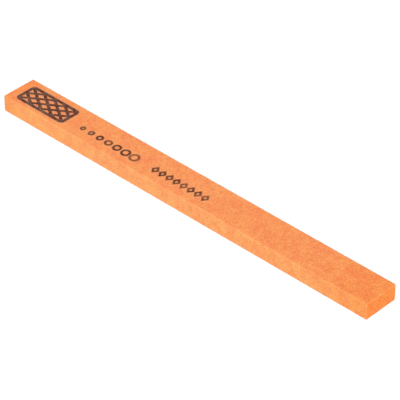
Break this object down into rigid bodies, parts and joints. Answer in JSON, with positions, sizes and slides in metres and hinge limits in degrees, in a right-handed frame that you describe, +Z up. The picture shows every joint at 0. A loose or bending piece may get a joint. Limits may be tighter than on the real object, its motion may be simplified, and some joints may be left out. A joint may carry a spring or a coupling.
{
  "type": "abrasive file",
  "caption": "Flat bonded-abrasive file: a straight rectangular bar of orange grit with square ends, held in the hand to sharpen edges and smooth or deburr metal.",
  "frame": {"origin": "middle of the broad face that the bar lies on", "axes": "+X along the bar, away from the end with the ink marks; +Y across its width; +Z up, through its thickness, towards the marked face"},
  "size_m": [0.15, 0.0126, 0.0058],
  "materials": {
    "bonded_abrasive": "matte"
  },
  "bodies": {
    "root": {"abrasive_bar": "bonded_abrasive"}
  },
  "joints": []
}
